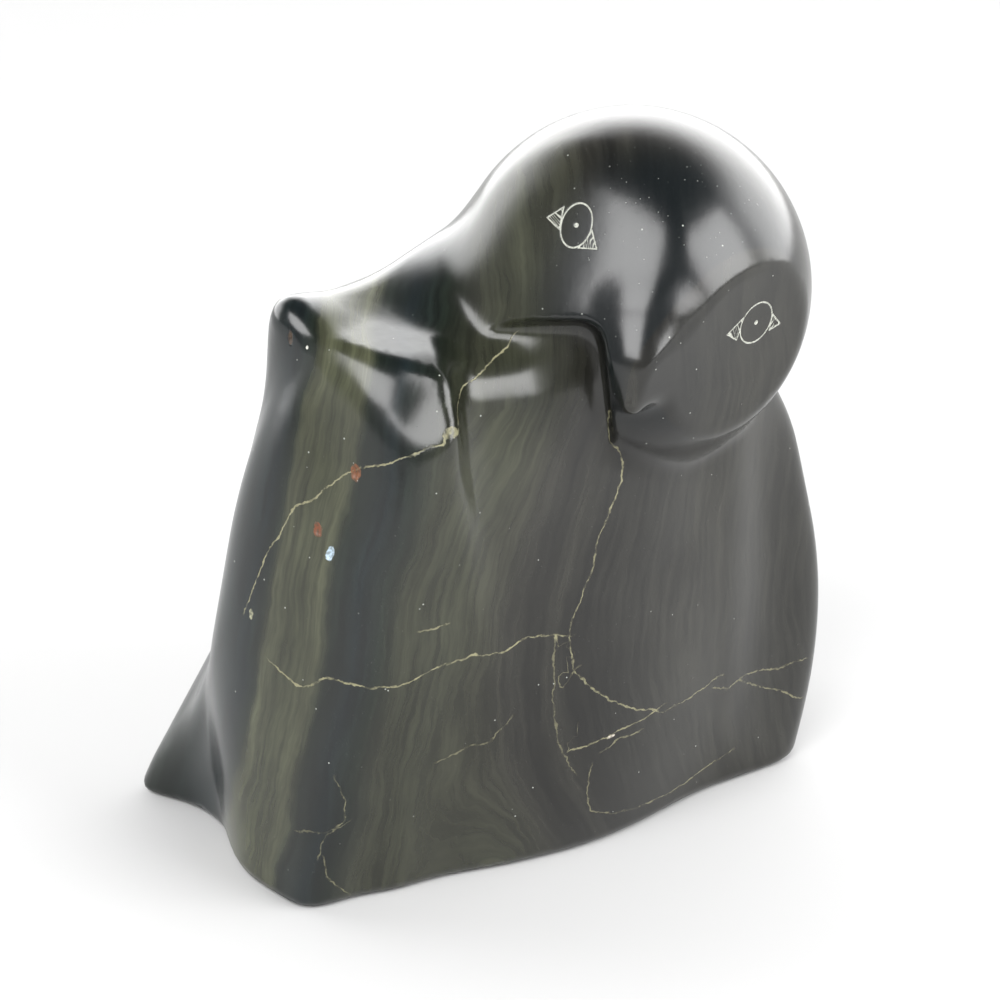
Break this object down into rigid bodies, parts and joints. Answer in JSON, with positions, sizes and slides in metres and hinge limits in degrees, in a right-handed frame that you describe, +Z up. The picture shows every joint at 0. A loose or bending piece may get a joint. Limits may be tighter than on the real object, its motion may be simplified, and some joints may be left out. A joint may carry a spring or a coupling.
{
  "type": "soapstone bird carving",
  "caption": "Small carved stone bird sitting with folded wings, its head turned and tipped, its beak on its breast.",
  "frame": {"origin": "middle of the bounding box at the underside, on the surface that the carving stands on", "axes": "+Z up, the bird's breast faces -Y, +X is the bird's left side"},
  "size_m": [0.107, 0.0826, 0.1208],
  "materials": {
    "soapstone": "polished, banded dark green and grey"
  },
  "bodies": {
    "root": {"bird_carving": "soapstone"}
  },
  "joints": []
}
